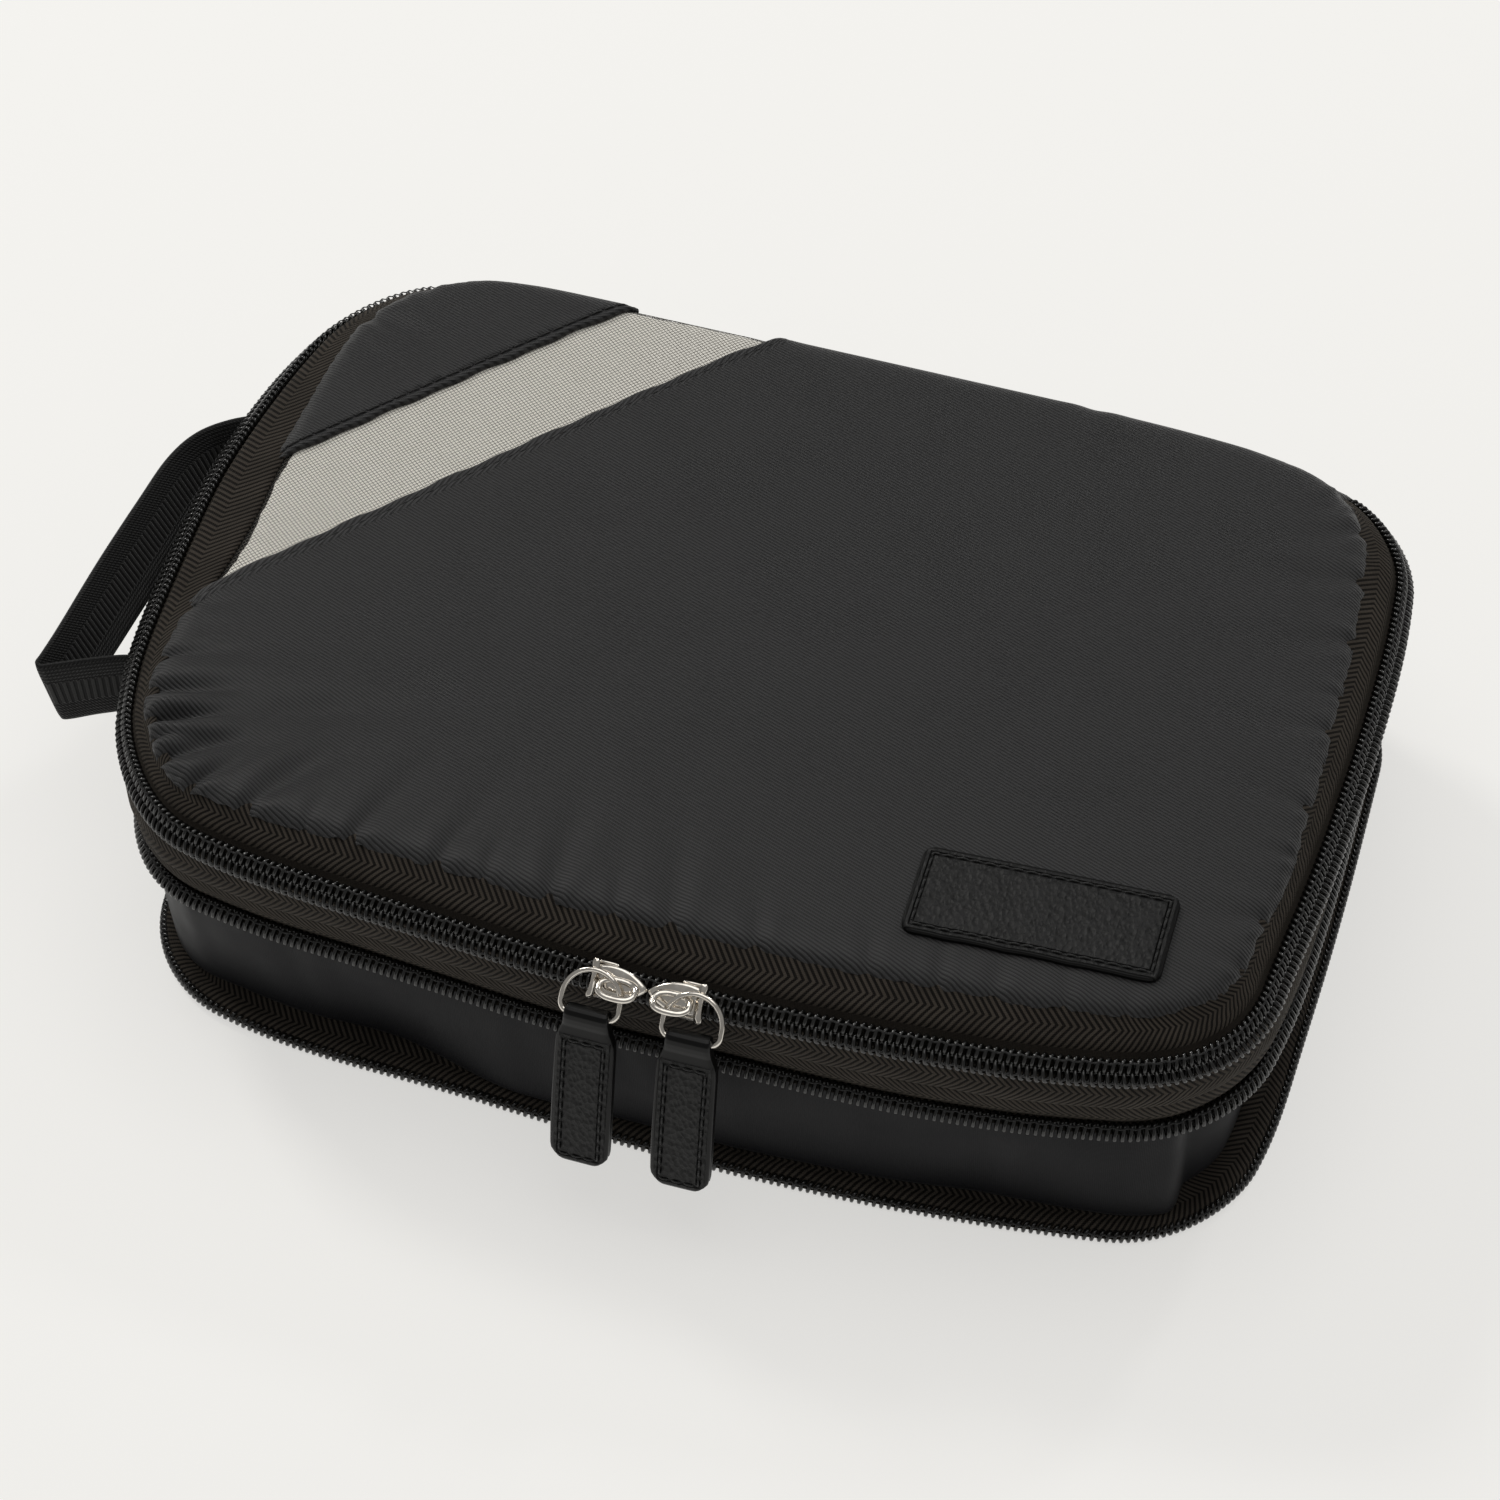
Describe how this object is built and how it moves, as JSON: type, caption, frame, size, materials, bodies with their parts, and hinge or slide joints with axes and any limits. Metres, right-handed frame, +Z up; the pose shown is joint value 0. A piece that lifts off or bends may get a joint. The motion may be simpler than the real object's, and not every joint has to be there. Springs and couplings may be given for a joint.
{
  "type": "packing cube",
  "caption": "Soft zipped travel packing cube with a mesh lid window, a compression zip round its expanding wall, leather pulls and a webbing side handle.",
  "frame": {"origin": "middle of the flat base on the surface it rests on, under the middle of the fabric case", "axes": "+X along the long side, towards the end without the handle; -Y towards the front, where the two main sliders meet; +Z up"},
  "size_m": [0.2744, 0.2013, 0.0696],
  "materials": {
    "twill": "black nylon twill, slightly sheened",
    "gusset_nylon": "thin black nylon, soft sheen",
    "zip_tape": "woven zip tape, herringbone, matte",
    "zip_coil": "black nylon coil, glossy",
    "binding": "plain woven seam binding",
    "mesh": "fine black net",
    "pale_lining": "thin pale cloth behind the net",
    "leather": "black pebbled leather with sealed edges",
    "thread": "black sewing thread",
    "nickel": "bright nickel plate",
    "webbing": "black ribbed polyester webbing"
  },
  "bodies": {
    "base": {"base_panel": "twill", "base_seam_binding": "binding", "gusset_wall": "gusset_nylon", "compression_tape_lower": "zip_tape", "compression_coil_lower": "zip_coil"},
    "upper": {"compression_tape_upper": "zip_tape", "compression_coil_upper": "zip_coil", "rim_seam_binding": "binding", "main_tape_lower": "zip_tape", "main_coil_lower": "zip_coil", "back_panel": "twill", "handle_anchor_front": "webbing", "handle_anchor_back": "webbing"},
    "lid": {"main_tape_upper": "zip_tape", "main_coil_upper": "zip_coil", "lid_main_panel": "twill", "lid_corner_panel": "twill", "hem_main": "twill", "hem_corner": "twill", "mesh_window": "mesh", "mesh_lining": "pale_lining", "lid_seam_binding": "binding", "lid_hinge_strip": "twill", "label_patch": "leather", "label_stitching": "thread"},
    "left_slider": {"left_slider_body": "nickel", "left_slider_inner_plate": "nickel"},
    "left_ring": {"left_pull_ring": "nickel"},
    "left_pull": {"left_pull_tab": "leather", "left_pull_stitching": "thread"},
    "right_slider": {"right_slider_body": "nickel", "right_slider_inner_plate": "nickel"},
    "right_ring": {"right_pull_ring": "nickel"},
    "right_pull": {"right_pull_tab": "leather", "right_pull_stitching": "thread"},
    "compression_slider": {"compression_slider_body": "nickel"},
    "compression_puller": {"compression_pull": "nickel"},
    "handle": {"handle_strap": "webbing"}
  },
  "joints": [
    {"name": "compress", "type": "slide", "parent": "base", "child": "upper", "axis": [0, 0, -1], "range_m": [0, 0.0315], "deforming": ["gusset_wall"]},
    {"name": "lid_hinge", "type": "hinge", "parent": "upper", "child": "lid", "pos_m": [0, 0.0888, 0.0585], "axis": [-1, 0, 0], "range_deg": [0, 180]},
    {"name": "left_slider_travel", "type": "hinge", "parent": "lid", "child": "left_slider", "pos_m": [0, 0.579, 0.0589], "axis": [0, 0, -1], "range_deg": [0, 7.3]},
    {"name": "right_slider_travel", "type": "hinge", "parent": "lid", "child": "right_slider", "pos_m": [0, 0.579, 0.0589], "axis": [0, 0, 1], "range_deg": [0, 6.5]},
    {"name": "left_ring_swing", "type": "hinge", "parent": "left_slider", "child": "left_ring", "pos_m": [-0.00131, -0.09585, 0.06061], "axis": [-1, 0.0019, 0], "range_deg": [0, 20]},
    {"name": "left_pull_swing", "type": "hinge", "parent": "left_ring", "child": "left_pull", "pos_m": [-0.00556, -0.10093, 0.05497], "axis": [-1, 0.0019, 0], "range_deg": [-20, 110]},
    {"name": "right_ring_swing", "type": "hinge", "parent": "right_slider", "child": "right_ring", "pos_m": [0.01116, -0.09576, 0.06061], "axis": [-0.9999, -0.0165, 0], "range_deg": [0, 20]},
    {"name": "right_pull_swing", "type": "hinge", "parent": "right_ring", "child": "right_pull", "pos_m": [0.01549, -0.10077, 0.05497], "axis": [-0.9999, -0.0165, 0], "range_deg": [-20, 110]},
    {"name": "compression_slider_travel", "type": "slide", "parent": "base", "child": "compression_slider", "axis": [-1, 0, 0], "range_m": [0, 0.147]},
    {"name": "compression_pull_swing", "type": "hinge", "parent": "compression_slider", "child": "compression_puller", "pos_m": [0.062, 0.08845, 0.004], "axis": [0, 0, -1], "range_deg": [0, 180]},
    {"name": "handle_swing", "type": "hinge", "parent": "upper", "child": "handle", "pos_m": [-0.1265, 0, 0.048], "axis": [0, 1, 0], "range_deg": [-30, 30]}
  ]
}
